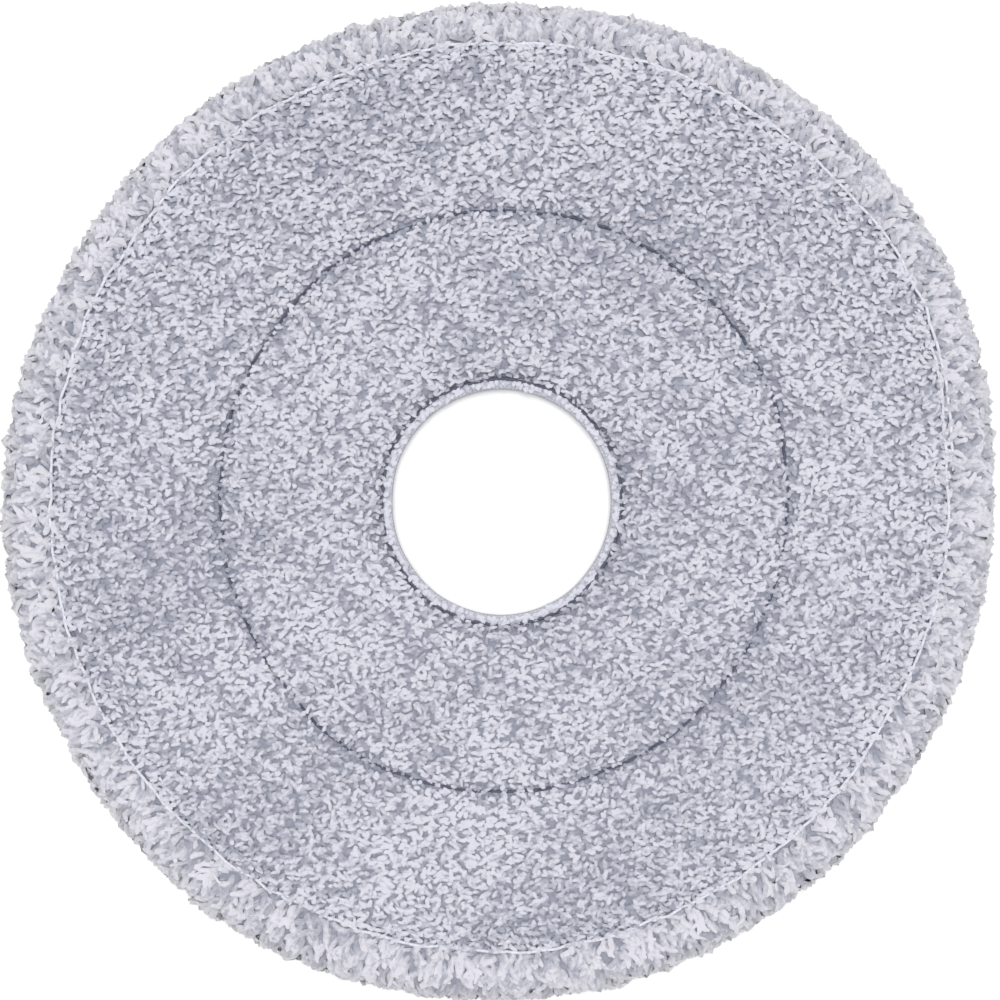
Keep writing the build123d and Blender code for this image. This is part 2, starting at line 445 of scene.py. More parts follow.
def strand(path, width, plies, turns, closed):
    """A thread along a path: a ring of points at each step, rippled by plies that turn along it."""
    sides, ripple = 10, 0.13
    ahead = np.roll(path, -1, axis=0) - np.roll(path, 1, axis=0)
    if not closed:
        ahead[0], ahead[-1] = path[1] - path[0], path[-1] - path[-2]
    ahead = unit(ahead)
    first = unit(np.cross(ahead, np.array([0.0, 0.0, 1.0])))
    second = np.cross(ahead, first)
    phi = np.arange(sides) / sides * tau
    steps = np.linalg.norm(np.diff(path, axis=0), axis=1)
    run = np.concatenate(([0.0], np.cumsum(steps)))
    run = run / (run[-1] + (np.linalg.norm(path[0] - path[-1]) if closed else 0))
    ply = 1 + ripple * np.cos(plies * (phi[None] - tau * turns * run[:, None]))
    girth = (width / 2 * ply)[..., None]
    points = path[:, None] + girth * (np.cos(phi)[None, :, None] * first[:, None]
                                      + np.sin(phi)[None, :, None] * second[:, None])
    faces = grid_faces(len(path), sides, closed, True)
    if not closed:
        cap = cap_faces(sides)
        faces = np.concatenate((cap[:, ::-1], faces, cap + (len(path) - 1) * sides))
    return points.reshape(-1, 3), faces


def cover_height(radius, stand):
    """Height of the face's ground: a rounded rise from each seam to a crown, the pile's stand below its top.

    Most of the rise is a steep shoulder beside the seam, and the rest a long low crown.
    """
    gap = np.minimum(np.minimum(radius - lip_edge, np.abs(radius - ring_seam)), leaf_edge - radius)
    rise = 0.8 * rounded_rise(gap, 4.5 * MM) + 0.2 * rounded_rise(gap, 19 * MM)
    low = np.interp(radius, (lip_edge, ring_seam, leaf_edge),
                    (lip_top - 0.6 * MM, ring_seam_top - 0.5 * MM, edge_seam_top))
    return low + (pile_top - stand - low) * rise


def core_height(radius):
    """Height of the wadding: a rounded rise from its edges and from the pinch under the ring seam."""
    pinch = 1 * MM
    gap = np.minimum(np.minimum(radius - core_inner, np.abs(radius - ring_seam)), core_edge - radius)
    return core_bottom + pinch + (core_top - core_bottom - pinch) * rounded_rise(gap, 5 * MM)


def rim_path(stand):
    """Radii and heights of the rim's ground from the seam over the top and round the side to the floor."""
    side = pad_radius - stand + 0.6 * MM
    top = rim_top - stand + 0.3 * MM
    radius = np.array((
        edge_seam + 0.3 * MM, edge_seam + 1.6 * MM, edge_seam + 3.4 * MM, edge_seam + 5.6 * MM,
        pad_radius - 3.8 * MM, side - 0.6 * MM, side, side - 0.4 * MM, side - 1.8 * MM))
    height = np.array((
        edge_seam_top - 0.2 * MM, edge_seam_top + 0.5 * MM, top - 0.1 * MM, top,
        top - 0.7 * MM, top - 2.0 * MM, 0.46 * top, 0.2 * top, 0.4 * MM))
    share, fine = np.linspace(0, 1, len(radius)), np.linspace(0, 1, 41)
    return smooth_through(share, radius, fine), smooth_through(share, height, fine)


def seam_path(radius, top, turns, stitch, dip, kink, rng, sway=None):
    """A seam's thread round the pad: it dips into the cloth at each needle hole and kinks a little.

    The height is top + dip x lift x min(0, 0.25 - 0.9 cos(2 pi phase)) + bow x sin(pi phase)^2, with a
    random lift and bow for each stitch. A random kink at each needle hole and the sway move it aside.
    """
    count = int(turns * tau * radius / stitch)
    steps = 14
    phase = np.arange(count * steps) / steps
    angle = phase / count * turns * tau
    kinks = rng.uniform(-1, 1, count + 2) * kink
    side = np.interp(phase, np.arange(count + 2), np.append(kinks[:-1], kinks[0]))
    offset = side if sway is None else side + sway(phase / count)
    lift = rng.uniform(0.6, 1.2, count + 1)[np.floor(phase).astype(int)]
    bow = rng.uniform(-0.4, 0.2, count + 1) * dip
    height = top + dip * lift * np.minimum(0, 0.25 - 0.9 * np.cos(tau * phase))
    height = height + bow[np.floor(phase).astype(int)] * np.sin(pi * phase) ** 2
    return angle, radius + offset, height


def white_spiral(share):
    """The white thread starts outside its seam and ends inside it, so its two ends run side by side."""
    return np.interp(share, (0, 0.09, 0.91, 1), (1.3, 0.0, 0.0, -1.3)) * MM


def swell(points, faces, pinned, limit):
    """Cloth simulation of the face's ground, enlarged: held at its seams and blown up from below.

    No point moves further than the limit.
    """
    enlarged, frames = 10, 20
    scene = bpy.context.scene
    mesh = bpy.data.meshes.new("swelling")
    mesh.from_pydata((points * enlarged).tolist(), [], faces.tolist())
    blown = bpy.data.objects.new("swelling", mesh)
    scene.collection.objects.link(blown)
    held = blown.vertex_groups.new(name="held")
    held.add(np.flatnonzero(pinned).tolist(), 1.0, "REPLACE")
    cloth = blown.modifiers.new("cloth", "CLOTH").settings
    cloth.quality = 4
    cloth.use_pressure = True
    cloth.uniform_pressure_force = 4.0
    cloth.vertex_group_mass = held.name
    cloth.effector_weights.gravity = 0.0
    for step in range(1, frames + 1):
        scene.frame_set(step)
    shown = blown.evaluated_get(bpy.context.evaluated_depsgraph_get())
    moved = np.empty(len(points) * 3, np.float32)
    shown.data.vertices.foreach_get("co", moved)
    bpy.data.objects.remove(blown)
    bpy.data.meshes.remove(mesh)
    scene.frame_set(1)
    move = moved.reshape(-1, 3).astype(float) / enlarged - points
    size = np.linalg.norm(move, axis=1, keepdims=True)
    return points + move * np.minimum(1, limit / np.maximum(size, 1e-9))


# Materials


def add(tree, kind, settings=None, **inputs):
    """A shader node with its settings, and inputs by name or place: values or other nodes' outputs."""
    node = tree.nodes.new("ShaderNode" + kind)
    for key, value in (settings or {}).items():
        setattr(node, key, value)
    for key, value in inputs.items():
        socket = node.inputs[int(key[1:])] if key[0] == "_" else node.inputs[key.replace("_", " ")]
        if isinstance(value, NodeSocket):
            tree.links.new(value, socket)
        else:
            socket.default_value = value
    return node


def reckon(tree, operation, first, second):
    """The output of a Math node on two values."""
    return add(tree, "Math", {"operation": operation}, _0=first, _1=second).outputs[0]


def ramp(tree, share, stops):
    """A colour that runs through its stops as the share goes from 0 to 1."""
    node = add(tree, "ValToRGB", Fac=share)
    band = node.color_ramp.elements
    while len(band) < len(stops):
        band.new(0.5)
    for element, (place, tone) in zip(band, stops):
        element.position = place
        element.color = (*tone, 1.0)
    return node.outputs["Color"]


def shaded(tone, amount):
    """A colour made darker or lighter by an amount."""
    return tuple(min(1.0, c * amount) for c in tone)


def new_group(name, inputs, outputs):
    """An empty shader node group with named inputs and outputs, its tree and its two end nodes."""
    tree = bpy.data.node_groups.new(name, "ShaderNodeTree")
    for key, kind in inputs:
        tree.interface.new_socket(key, in_out="INPUT", socket_type=kind)
    for key, kind in outputs:
        tree.interface.new_socket(key, in_out="OUTPUT", socket_type=kind)
    return tree, tree.nodes.new("NodeGroupInput"), tree.nodes.new("NodeGroupOutput")


def fibre_group():
    """Fine fibres in a yarn: Mottle is a soft change of tone, and Height the fibres' relief."""
    if "fibres" in bpy.data.node_groups:
        return bpy.data.node_groups["fibres"]
    tree, start, end = new_group(
        "fibres", [("Vector", "NodeSocketVector"), ("Scale", "NodeSocketFloat")],
        [("Mottle", "NodeSocketFloat"), ("Height", "NodeSocketFloat")])
    vector, scale = start.outputs["Vector"], start.outputs["Scale"]
    soft = add(tree, "TexNoise", Vector=vector, Scale=scale, Detail=3.0, Roughness=0.6)
    finer = reckon(tree, "MULTIPLY", scale, 4.0)
    fine = add(tree, "TexNoise", Vector=vector, Scale=finer, Detail=2.0, Roughness=0.7)
    tree.links.new(soft.outputs["Fac"], end.inputs["Mottle"])
    tree.links.new(fine.outputs["Fac"], end.inputs["Height"])
    return tree


def weave_group():
    """Crossing rows of a cloth on its map: Height rises along both rows."""
    if "weave" in bpy.data.node_groups:
        return bpy.data.node_groups["weave"]
    tree, start, end = new_group(
        "weave",
        [("Vector", "NodeSocketVector"), ("Along", "NodeSocketFloat"), ("Across", "NodeSocketFloat")],
        [("Height", "NodeSocketFloat")])
    rows = [add(tree, "TexWave", {"bands_direction": way}, Vector=start.outputs["Vector"],
                Scale=start.outputs[key], Distortion=0.6, Detail=1.0).outputs["Fac"]
            for way, key in (("X", "Along"), ("Y", "Across"))]
    tree.links.new(reckon(tree, "MULTIPLY", *rows), end.inputs["Height"])
    return tree


def new_material(name):
    """A material with its tree and its shader."""
    material = bpy.data.materials.new(name)
    material.use_nodes = True
    return material, material.node_tree, material.node_tree.nodes["Principled BSDF"]


def fibres_at(tree, scale):
    """The fibres group on Object coordinates at a scale."""
    place = add(tree, "TexCoord").outputs["Object"]
    return add(tree, "Group", {"node_tree": fibre_group()}, Vector=place, Scale=scale)


def soft_finish(tree, shader, height, depth, roughness, sheen):
    """A cloth's dull sheen, with a relief of a depth in metres."""
    bump = add(tree, "Bump", Strength=0.8, Distance=depth, Height=height)
    tree.links.new(bump.outputs["Normal"], shader.inputs["Normal"])
    shader.inputs["Roughness"].default_value = roughness
    shader.inputs["Specular IOR Level"].default_value = 0.15
    shader.inputs["Sheen Weight"].default_value = sheen
    shader.inputs["Sheen Roughness"].default_value = 0.5


def pile_material(name, colours, tip):
    """Pile yarn after the tufts' own tone: dark at the root and pale at the tip, partly the yarn's blue-grey
    and white and partly painted shade deep in the pile, mottled by its fibres.
    """
    material, tree, shader = new_material(name)
    tone = add(tree, "Attribute", {"attribute_name": "tone"}).outputs["Fac"]
    fibres = fibres_at(tree, 1000.0)
    mottled = reckon(tree, "ADD", tone, reckon(tree, "SUBTRACT", fibres.outputs["Mottle"], 0.5))
    stops = [(0.0, colours.pile_deep), (0.42, colours.pile_mid), (1.0, tip)]
    tree.links.new(ramp(tree, mottled, stops), shader.inputs["Base Color"])
    soft_finish(tree, shader, fibres.outputs["Height"], depth=0.12 * MM, roughness=0.95, sheen=0.6)
    return material


def woven_material(name, tone, along, across, depth):
    """A flat cloth in crossing rows on its own map: a tape's ribs or a knit's courses."""
    material, tree, shader = new_material(name)
    place = add(tree, "UVMap", {"uv_map": "cloth"}).outputs["UV"]
    weave = add(tree, "Group", {"node_tree": weave_group()}, Vector=place, Along=along, Across=across)
    fibres = fibres_at(tree, 600.0)
    share = reckon(tree, "ADD", reckon(tree, "MULTIPLY", weave.outputs["Height"], 0.5),
                   reckon(tree, "MULTIPLY", fibres.outputs["Mottle"], 0.5))
    stops = [(0.1, shaded(tone, 0.68)), (0.5, tone), (0.9, shaded(tone, 1.14))]
    tree.links.new(ramp(tree, share, stops), shader.inputs["Base Color"])
    soft_finish(tree, shader, weave.outputs["Height"], depth, roughness=0.85, sheen=0.1)
    return material


def fibre_material(name, stops, scale, depth, roughness, sheen):
    """A cloth or thread whose colour runs through its stops with the mottle of its fibres."""
    material, tree, shader = new_material(name)
    fibres = fibres_at(tree, scale)
    tree.links.new(ramp(tree, fibres.outputs["Mottle"], stops), shader.inputs["Base Color"])
    soft_finish(tree, shader, fibres.outputs["Height"], depth, roughness, sheen)
    return material


def ground_material(colours):
    """The cloth that the tufts stand in: deep pile colour, mottled; partly the yarn's blue-grey and partly
    painted shade of the gaps between tufts.
    """
    stops = [(0.2, colours.pile_deep), (0.8, colours.pile_mid)]
    return fibre_material("pile_ground", stops, scale=700.0, depth=0.3 * MM, roughness=0.95, sheen=0.1)


def thread_material(name, tone):
    """Spun sewing thread: its tone mottled by fibres, with a fine relief."""
    stops = [(0.15, shaded(tone, 0.72)), (0.5, tone), (0.85, shaded(tone, 1.12))]
    return fibre_material(name, stops, scale=1500.0, depth=0.08 * MM, roughness=0.75, sheen=0.05)


def fluffy_material(name, tone, scale):
    """A cloth of tangled fibres, such as brushed loop or wadding."""
    stops = [(0.25, shaded(tone, 0.5)), (0.55, tone), (0.8, shaded(tone, 1.7))]
    return fibre_material(name, stops, scale, depth=0.3 * MM, roughness=0.9, sheen=0.1)


def floor_material(colours):
    """A pale floor with the faintest mottle."""
    material, tree, shader = new_material("floor")
    fibres = fibres_at(tree, 8.0)
    stops = [(0.3, shaded(colours.floor, 0.995)), (0.7, colours.floor)]
    tree.links.new(ramp(tree, fibres.outputs["Mottle"], stops), shader.inputs["Base Color"])
    shader.inputs["Roughness"].default_value = 0.9
    shader.inputs["Specular IOR Level"].default_value = 0.1
    return material


# Operators, one for each piece or group of like pieces


class PAD_OT_face(Operator):
    """Makes the face's ground cloth, swelled between its seams, and the wadding under it."""

    bl_idname = "mop_pad.face"
    bl_label = "Face and wadding"

    def execute(self, context):
        sizes, colours = context.scene.mop_pad_sizes, context.scene.mop_pad_colours
        rng = np.random.default_rng(11)
        from_ring = np.abs(cover_radii - ring_seam)
        top = carried_round(cover_radii, cover_height(cover_radii, sizes.tuft_stand), cover_turns)
        lumps = 0.12 * MM * rounded_rise(from_ring, 8 * MM)[:, None]
        top[..., 2] += lumps * drift(top, 17 * MM, rng)
        held = from_ring < 1.2 * MM
        held[[0, -1]] = True
        flat = top.reshape(-1, 3)
        faces = grid_faces(cover_rows, cover_turns, False, True)[:, ::-1]
        top = swell(flat, faces, np.repeat(held, cover_turns), sizes.swell_limit).reshape(top.shape)
        under = carried_round(cover_radii, core_height(cover_radii) + 0.2 * MM, cover_turns)
        under[..., 2] = np.minimum(under[..., 2], top[..., 2] - 0.5 * MM)
        piece = ring_piece("face_ground", np.concatenate((under, top[::-1])),
                           ground_material(colours), "face_pile", "face_cloth")

        rows, turns = 48, 240
        radii = np.linspace(core_inner, core_edge, rows)
        radii = np.concatenate((radii, radii[::-1]))
        heights = np.concatenate((np.full(rows, core_bottom), core_height(radii[rows:])))
        points = carried_round(radii, heights, turns)
        points[rows:, :, 2] += 0.08 * MM * drift(points[rows:], 9 * MM, rng)
        points[rows:, :, 2] = np.maximum(points[rows:, :, 2], core_bottom + 0.5 * MM)
        material = fluffy_material("wadding", colours.wadding, scale=500.0)
        piece = ring_piece("wadding", points, material, "wadding", "absorbent_core")
        return {"FINISHED"}


class PAD_OT_pile(Operator):
    """Plants the face's tufts on its ground, white ones over lower blue ones, as pieces ring by ring."""

    bl_idname = "mop_pad.pile"
    bl_label = "Face pile"

    def execute(self, context):
        sizes, colours = context.scene.mop_pad_sizes, context.scene.mop_pad_colours
        mesh = bpy.data.objects["face_ground"].data
        points = np.empty(len(mesh.vertices) * 3, np.float32)
        mesh.vertices.foreach_get("co", points)
        grid = points.reshape(2, cover_rows, cover_turns, 3).astype(float)[1, ::-1]
        normals = surface_normals(grid)

        # Roots: an even planting of each colour, with the ring seam left free
        rng = np.random.default_rng(23)
        inner, outer, seam_clear = lip_edge + 0.1 * MM, leaf_edge + 0.5 * MM, 0.4 * MM
        white = planted(sizes.tuft_pitch, inner, outer, shake=0.3, rng=rng)
        under = planted(1.2 * sizes.tuft_pitch, inner, outer, shake=0.4, rng=rng)
        radius, angle = np.concatenate((white, under), axis=1)
        blue = np.arange(len(radius)) >= len(white[0])
        kept = np.abs(radius - ring_seam) > seam_clear
        radius, angle, blue = radius[kept], angle[kept], blue[kept]
        roots = sampled(grid, cover_radii, radius, angle)
        up = unit(sampled(normals, cover_radii, radius, angle))
        shade_up = unit(up + np.array((0.0, 0.0, 1.0)))
        count = len(roots)

        # Lean: along the rows either way, with strays, and parted at the ring seam and the hole
        stray_share, ring_parting, hole_parting = 0.35, 2.6 * MM, 1.6 * MM
        turn = rng.normal(0.1, 0.5, count) + pi * rng.integers(0, 2, count)
        stray = rng.random(count) < stray_share
        turn = np.where(stray, rng.uniform(0, tau, count), turn)
        from_ring = (radius - ring_seam) / ring_parting
        from_hole = (radius - lip_edge) / hole_parting
        parting = np.sign(from_ring) * np.clip(1 - np.abs(from_ring), 0, 1) * rng.uniform(-0.6, 2.2, count)
        parting = parting + np.clip(1 - from_hole, 0, 1) * (0.7 + 0.9 * np.sin(angle))
        lean = unit(heading(turn) + parting[:, None] * heading(angle))

        # Size and tone: patches along the rows, and darker, shorter tufts by the dark seams, with more of
        # them blue by the ring seam; the darkening and the extra blue there are painted shade of the seam
        # valleys, and the tufts by the edge seam are lighter
        rows = along_rows(roots)
        patch = drift(rows, 9 * MM, rng)
        by_ring = hill(radius - ring_seam, 1.7 * MM)
        by_hole = hill(radius - hole_seam, 1.5 * MM)
        by_edge = hill(radius - leaf_edge, 3.0 * MM)
        blue = blue | (rng.random(count) < 0.04 - 0.06 * patch + 0.4 * by_ring)
        blue_stand, mean_share = 0.72, 0.91
        share = rng.uniform(0.8, 1.12, count) * np.where(blue, blue_stand, 1.0)
        reach = sizes.tuft_length * rng.uniform(0.5, 1.3, count) * (1 - 0.55 * by_ring - 0.4 * by_hole)
        width = sizes.tuft_width * rng.uniform(0.8, 1.2, count)
        bend = rng.uniform(-0.6, 0.6, count) * MM
        tone = 0.93 + 0.065 * patch + 0.07 * drift(rows, 45 * MM, rng) + 0.1 * rng.normal(0, 1, count)
        tone = tone + 0.08 * drift(rows, 4 * MM, rng)
        # Painted shade: the shorter a tuft stands, the darker its tone; the blue tufts are darker by their
        # own colour
        tone = tone + 0.4 * (share - mean_share) - 0.38 * blue
        # Painted shade: tone lower beside the ring and hole seams, in their valleys; tone higher beside the
        # edge seam
        tone = tone - 0.38 * by_ring - 0.2 * by_hole + 0.12 * by_edge

        # The rise paints the tufts darker towards the roots: partly the yarn's blue-grey, partly painted
        # shade deep in the pile
        stops, girths, rise = (0.0, 0.4, 0.75, 1.0), (0.8, 1.05, 1.0, 0.5), (0.28, 0.82, 0.98, 0.92)
        stand = sizes.tuft_stand * share
        lines, across = bent_lines(roots - root_depth * up, up, lean, stand, reach, bend, stops)
        material = pile_material("face_pile", colours, colours.pile_tip)
        pieces = 6
        bounds = np.quantile(radius, np.linspace(0, 1, pieces + 1))
        for k in range(pieces):
            part = (radius >= bounds[k]) & ((radius < bounds[k + 1]) | (k == pieces - 1))
            shape = tufts(lines[part], across[part], shade_up[part], width[part], girths, rng, sides=4)
            pile_piece(f"face_pile_{k + 1}", shape, tone[part], rise, face_flank_shade, material, "face_pile")
        return {"FINISHED"}


class PAD_OT_rim(Operator):
    """Makes the folded rim's ground roll and the locks of pile that lie outward over it."""

    bl_idname = "mop_pad.rim"
    bl_label = "Rim"

    def execute(self, context):
        sizes, colours = context.scene.mop_pad_sizes, context.scene.mop_pad_colours
        rng = np.random.default_rng(37)
        out_r, out_z = rim_path(sizes.lock_stand)
        self.roll(out_r, out_z, sizes, colours)

        # Roots: staggered rows along the section and round the pad
        run = np.cumsum(np.concatenate(([0.0], np.hypot(np.diff(out_r), np.diff(out_z)))))
        rows, turns = int(run[-1] / sizes.lock_pitch), int(tau * pad_radius / sizes.lock_pitch)
        way = (np.arange(rows)[:, None] + 0.3 + rng.uniform(-0.4, 0.4, (rows, turns))) / rows * run[-1]
        way, angle = way.ravel(), staggered(rows, turns, rng).ravel()
        count = len(way)

        # Locks: curly lines that lie over the ground from the seam outward
        place = lay(np.interp(way, run, out_r), angle, np.interp(way, run, out_z))
        clump = drift(place, 9 * MM, rng)
        length = sizes.lock_length * rng.uniform(0.6, 1.2, count)
        turn = rng.normal(0, 0.5, count) + 0.5 * drift(place, 6 * MM, rng)
        stops, girths = np.array((0.0, 0.3, 0.6, 0.86, 1.0)), (0.8, 1.0, 1.05, 0.95, 0.45)
        t = stops[None]
        wiggle = rng.uniform(-1.7, 1.7, count)[:, None] * np.sin(pi * t) * MM
        way_t = way[:, None] + (length * np.cos(turn))[:, None] * t
        arc_t = (length * np.sin(turn))[:, None] * t + wiggle
        angle_t = angle[:, None] + arc_t / pad_radius
        stand = (rng.uniform(0.6, 1.0, count) * (0.85 + 0.15 * clump))[:, None]
        rise = sizes.lock_stand * stand * np.sin(pi * np.minimum(0.85 * t, 0.6)) - root_depth
        base_r, base_z = np.interp(way_t, run, out_r), np.interp(way_t, run, out_z)
        slope_r = np.interp(way_t, run, np.gradient(out_r, run))
        slope_z = np.interp(way_t, run, np.gradient(out_z, run))
        past, lowest = np.maximum(way_t - run[-1], 0), 0.55 * MM
        lines = lay(base_r - rise * slope_z - past, angle_t, np.maximum(base_z + rise * slope_r, lowest))
        across = np.stack((-np.sin(angle), np.cos(angle), 0 * angle), axis=-1)
        up = unit(np.array((0.0, 0.0, 1.0)) * slope_r[:, 2:3] - heading(angle) * slope_z[:, 2:3])
        width = sizes.lock_width * rng.uniform(0.75, 1.2, count)

        # Tone: white with some blue locks, fewer of them in the clumps that stand up; the locks are painted
        # lighter where the clumps stand up and darker where they lie low, painted shade of the hollows
        # between clumps
        tone = 1.1 + 0.08 * clump + 0.1 * rng.normal(0, 1, count)
        tone = np.where(rng.random(count) < rim_blue - 0.12 * clump, tone - blue_dip, tone)
        material = pile_material("rim_pile", colours, colours.rim_tip)
        names = ("rim_pile_seam", "rim_pile_top", "rim_pile_side")
        bounds = np.quantile(way, np.linspace(0, 1, len(names) + 1))
        for k, name in enumerate(names):
            part = (way >= bounds[k]) & ((way < bounds[k + 1]) | (k == len(names) - 1))
            shape = tufts(lines[part], across[part], up[part], width[part], girths, rng, sides=4)
            # The rise 0.52 + 0.48 t paints the locks darker towards the roots: partly the yarn's blue-grey,
            # partly painted shade under the locks
            pile_piece(name, shape, tone[part], 0.52 + 0.48 * stops, rim_flank_shade, material, "rim_pile")
        self.pressed_pile(material, rng)
        return {"FINISHED"}

    def roll(self, out_r, out_z, sizes, colours):
        """The rim's ground: its outer section, the slot for the cloths' margins, and the under leaf."""
        turns = 360
        slot_low, slot_high, slot_edge = patch_top, face_bottom + 1.7 * MM, layer_edge + 0.1 * MM
        leaf_low, groove_top = 0.8 * MM, 1.1 * MM
        inside = np.array(((leaf_edge, edge_seam_top - 0.6 * MM), (leaf_edge, slot_high),
                           (slot_edge, slot_high), (slot_edge, slot_low),
                           (under_leaf, slot_low), (under_leaf, leaf_low), (edge_seam - 0.8 * MM, leaf_low),
                           (edge_seam - 0.3 * MM, groove_top), (edge_seam + 0.3 * MM, groove_top),
                           (edge_seam + 0.8 * MM, leaf_low),
                           (pad_radius - sizes.lock_stand - 2.4 * MM, leaf_low)))
        radii = np.concatenate((out_r[::-1], inside[:, 0]))
        heights = np.concatenate((out_z[::-1], inside[:, 1]))
        roll = ring_piece("rim_roll", carried_round(radii, heights, turns),
                          ground_material(colours), "rim_pile", "edge_binding")

    def pressed_pile(self, material, rng):
        """The rim's pile on the back, combed outward and pressed flat between its ground and the floor.

        Its first row lies inside the seam, and is short and straight.
        """
        root_height, ceiling, pitch = 0.9 * MM, 1.4 * MM, 1.5 * MM
        outer_rows = np.linspace(edge_seam + 0.9 * MM, pad_radius - 4.2 * MM, 5)
        rows = np.array((under_leaf + 0.3 * MM, *outer_rows))
        shake = np.array((0.3, 0.5, 1, 1, 1, 1))[:, None]
        turns = int(tau * edge_seam / pitch)
        radius = rows[:, None] + rng.uniform(-0.4, 0.4, (len(rows), turns)) * MM * shake
        radius, angle = radius.ravel(), staggered(len(rows), turns, rng).ravel()
        short = np.repeat(np.where(np.arange(len(rows)) == 0, 0.35, 1.0), turns)
        count = len(radius)
        up = np.tile(np.array((0.0, 0.0, -1.0)), (count, 1))
        lean = heading(angle + rng.normal(0, 0.5, count))
        stops, girths = np.array((0.0, 0.55, 1.0)), (0.85, 1.05, 0.5)
        lines, across = leaning_lines(
            lay(radius, angle, root_height), up, lean,
            length=rng.uniform(0.45, 0.7, count) * MM,
            tilt=rng.uniform(1.8, 3.2, count) * short,
            curl=rng.uniform(0.3, 0.8, count) * short,
            wiggle=rng.uniform(-0.6, 0.6, count) * short, stops=stops)
        shape = tufts(lines, across, up, rng.uniform(1.2, 1.9, count) * MM, girths, rng)
        shape[0][:, 2] = np.minimum(shape[0][:, 2], ceiling)
        tone = 0.95 + 0.1 * rng.normal(0, 1, count)
        tone = np.where(rng.random(count) < rim_blue, tone - blue_dip, tone)
        # Tone rises 0.3 + 0.7 t from root to tip: partly the yarn's blue-grey, partly painted shade deep in
        # the pressed pile
        pile_piece("rim_pile_back", shape, tone, 0.3 + 0.7 * stops, plain_flanks, material, "rim_pile")


class PAD_OT_tape(Operator):
    """Makes the ribbed tape folded round the hole's edge, and the short nap on its lip."""

    bl_idname = "mop_pad.tape"
    bl_label = "Hole tape"

    def execute(self, context):
        colours = context.scene.mop_pad_colours
        rng = np.random.default_rng(41)
        wall, leaf, thick, bend = hole_radius + 0.35 * MM, tape_edge, 0.75 * MM, 0.75 * MM
        flat_start, lip_end = wall + bend + 0.2 * MM, lip_edge - 0.1 * MM

        # Section: the lip inward, two bends round the wall, the under leaf with its groove, and the inside
        turn = np.linspace(0, pi / 2, 6)
        top = np.linspace(lip_end, flat_start, 7)
        under = (flat_start, hole_seam - 0.5 * MM, hole_seam, hole_seam + 0.5 * MM, leaf)
        radii = np.concatenate((
            top, wall + bend * (1 - np.sin(turn)), wall + bend * (1 - np.cos(turn)), under,
            (leaf, wall + thick, wall + thick, lip_end)))
        heights = np.concatenate((
            np.full(len(top), lip_top), lip_top - bend * (1 - np.cos(turn)), bend * (1 - np.sin(turn)),
            (0.0, 0.0, 0.6 * MM, 0.0, 0.0), (thick, thick, lip_top - thick, lip_top - thick)))
        count = 1080
        points = carried_round(radii, heights, count)
        lumps = 0.16 * drift(points, 3.1 * MM, rng) + 0.10 * drift(points, 1.6 * MM, rng)
        lip = np.zeros(len(radii))
        lip[:len(top)] = 1.0
        lip[len(top):len(top) + len(turn)] = np.cos(turn)
        points[..., 2] += MM * lip[:, None] * (lumps - 0.2)
        material = woven_material("tape", colours.tape, along=330.0, across=420.0, depth=0.1 * MM)
        piece = ring_piece("hole_tape", points, material, "lip_tape", "hole_binding",
                           maps={"cloth": ring_maps(radii, heights, count)})
        nap = self.nap(wall, colours, rng)
        return {"FINISHED"}

    def nap(self, wall, colours, rng):
        """The lip's nap: two rows of short tufts that lean towards the hole."""
        pitch, blue_share, blue_fall = 1.4 * MM, 0.3, 0.4
        rows, turns = 2, int(tau * hole_seam / pitch)
        step = np.arange(rows)[:, None] + rng.uniform(-0.4, 0.4, (rows, turns))
        radius = hole_seam - 0.75 * MM - step * (hole_seam - wall - 1.8 * MM) / (rows - 1)
        radius, angle = radius.ravel(), staggered(rows, turns, rng).ravel()
        count = len(radius)
        outward = heading(angle)
        up = np.tile(np.array([0.0, 0.0, 1.0]), (count, 1))
        turned = rng.normal(0, 1.2, count)[:, None] * np.cross(up, outward)
        stops, girths = np.array((0.0, 0.4, 0.78, 1.0)), (0.9, 1.06, 0.9, 0.45)
        lines, across = leaning_lines(
            lay(radius, angle, lip_top - 0.7 * MM), up, turned - outward,
            length=rng.uniform(0.9, 2.2, count) * MM,
            tilt=rng.uniform(0.0, 0.35, count),
            curl=rng.uniform(0.05, 0.3, count),
            wiggle=rng.uniform(-0.3, 0.3, count), stops=stops)
        shape = tufts(lines, across, up, rng.uniform(1.25, 1.95, count) * MM, girths, rng)
        tone = 1.25 + 0.12 * rng.normal(0, 1, count)
        tone = np.where(rng.random(count) < blue_share, tone - blue_fall, tone)
        material = pile_material("lip_nap", colours, colours.pile_tip)
        # Tone rises 0.16 + 0.84 t from root to tip: partly the yarn's blue-grey, partly painted shade deep in
        # the nap
        return pile_piece("lip_nap", shape, tone, 0.16 + 0.84 * stops, plain_flanks, material, "lip_tape")


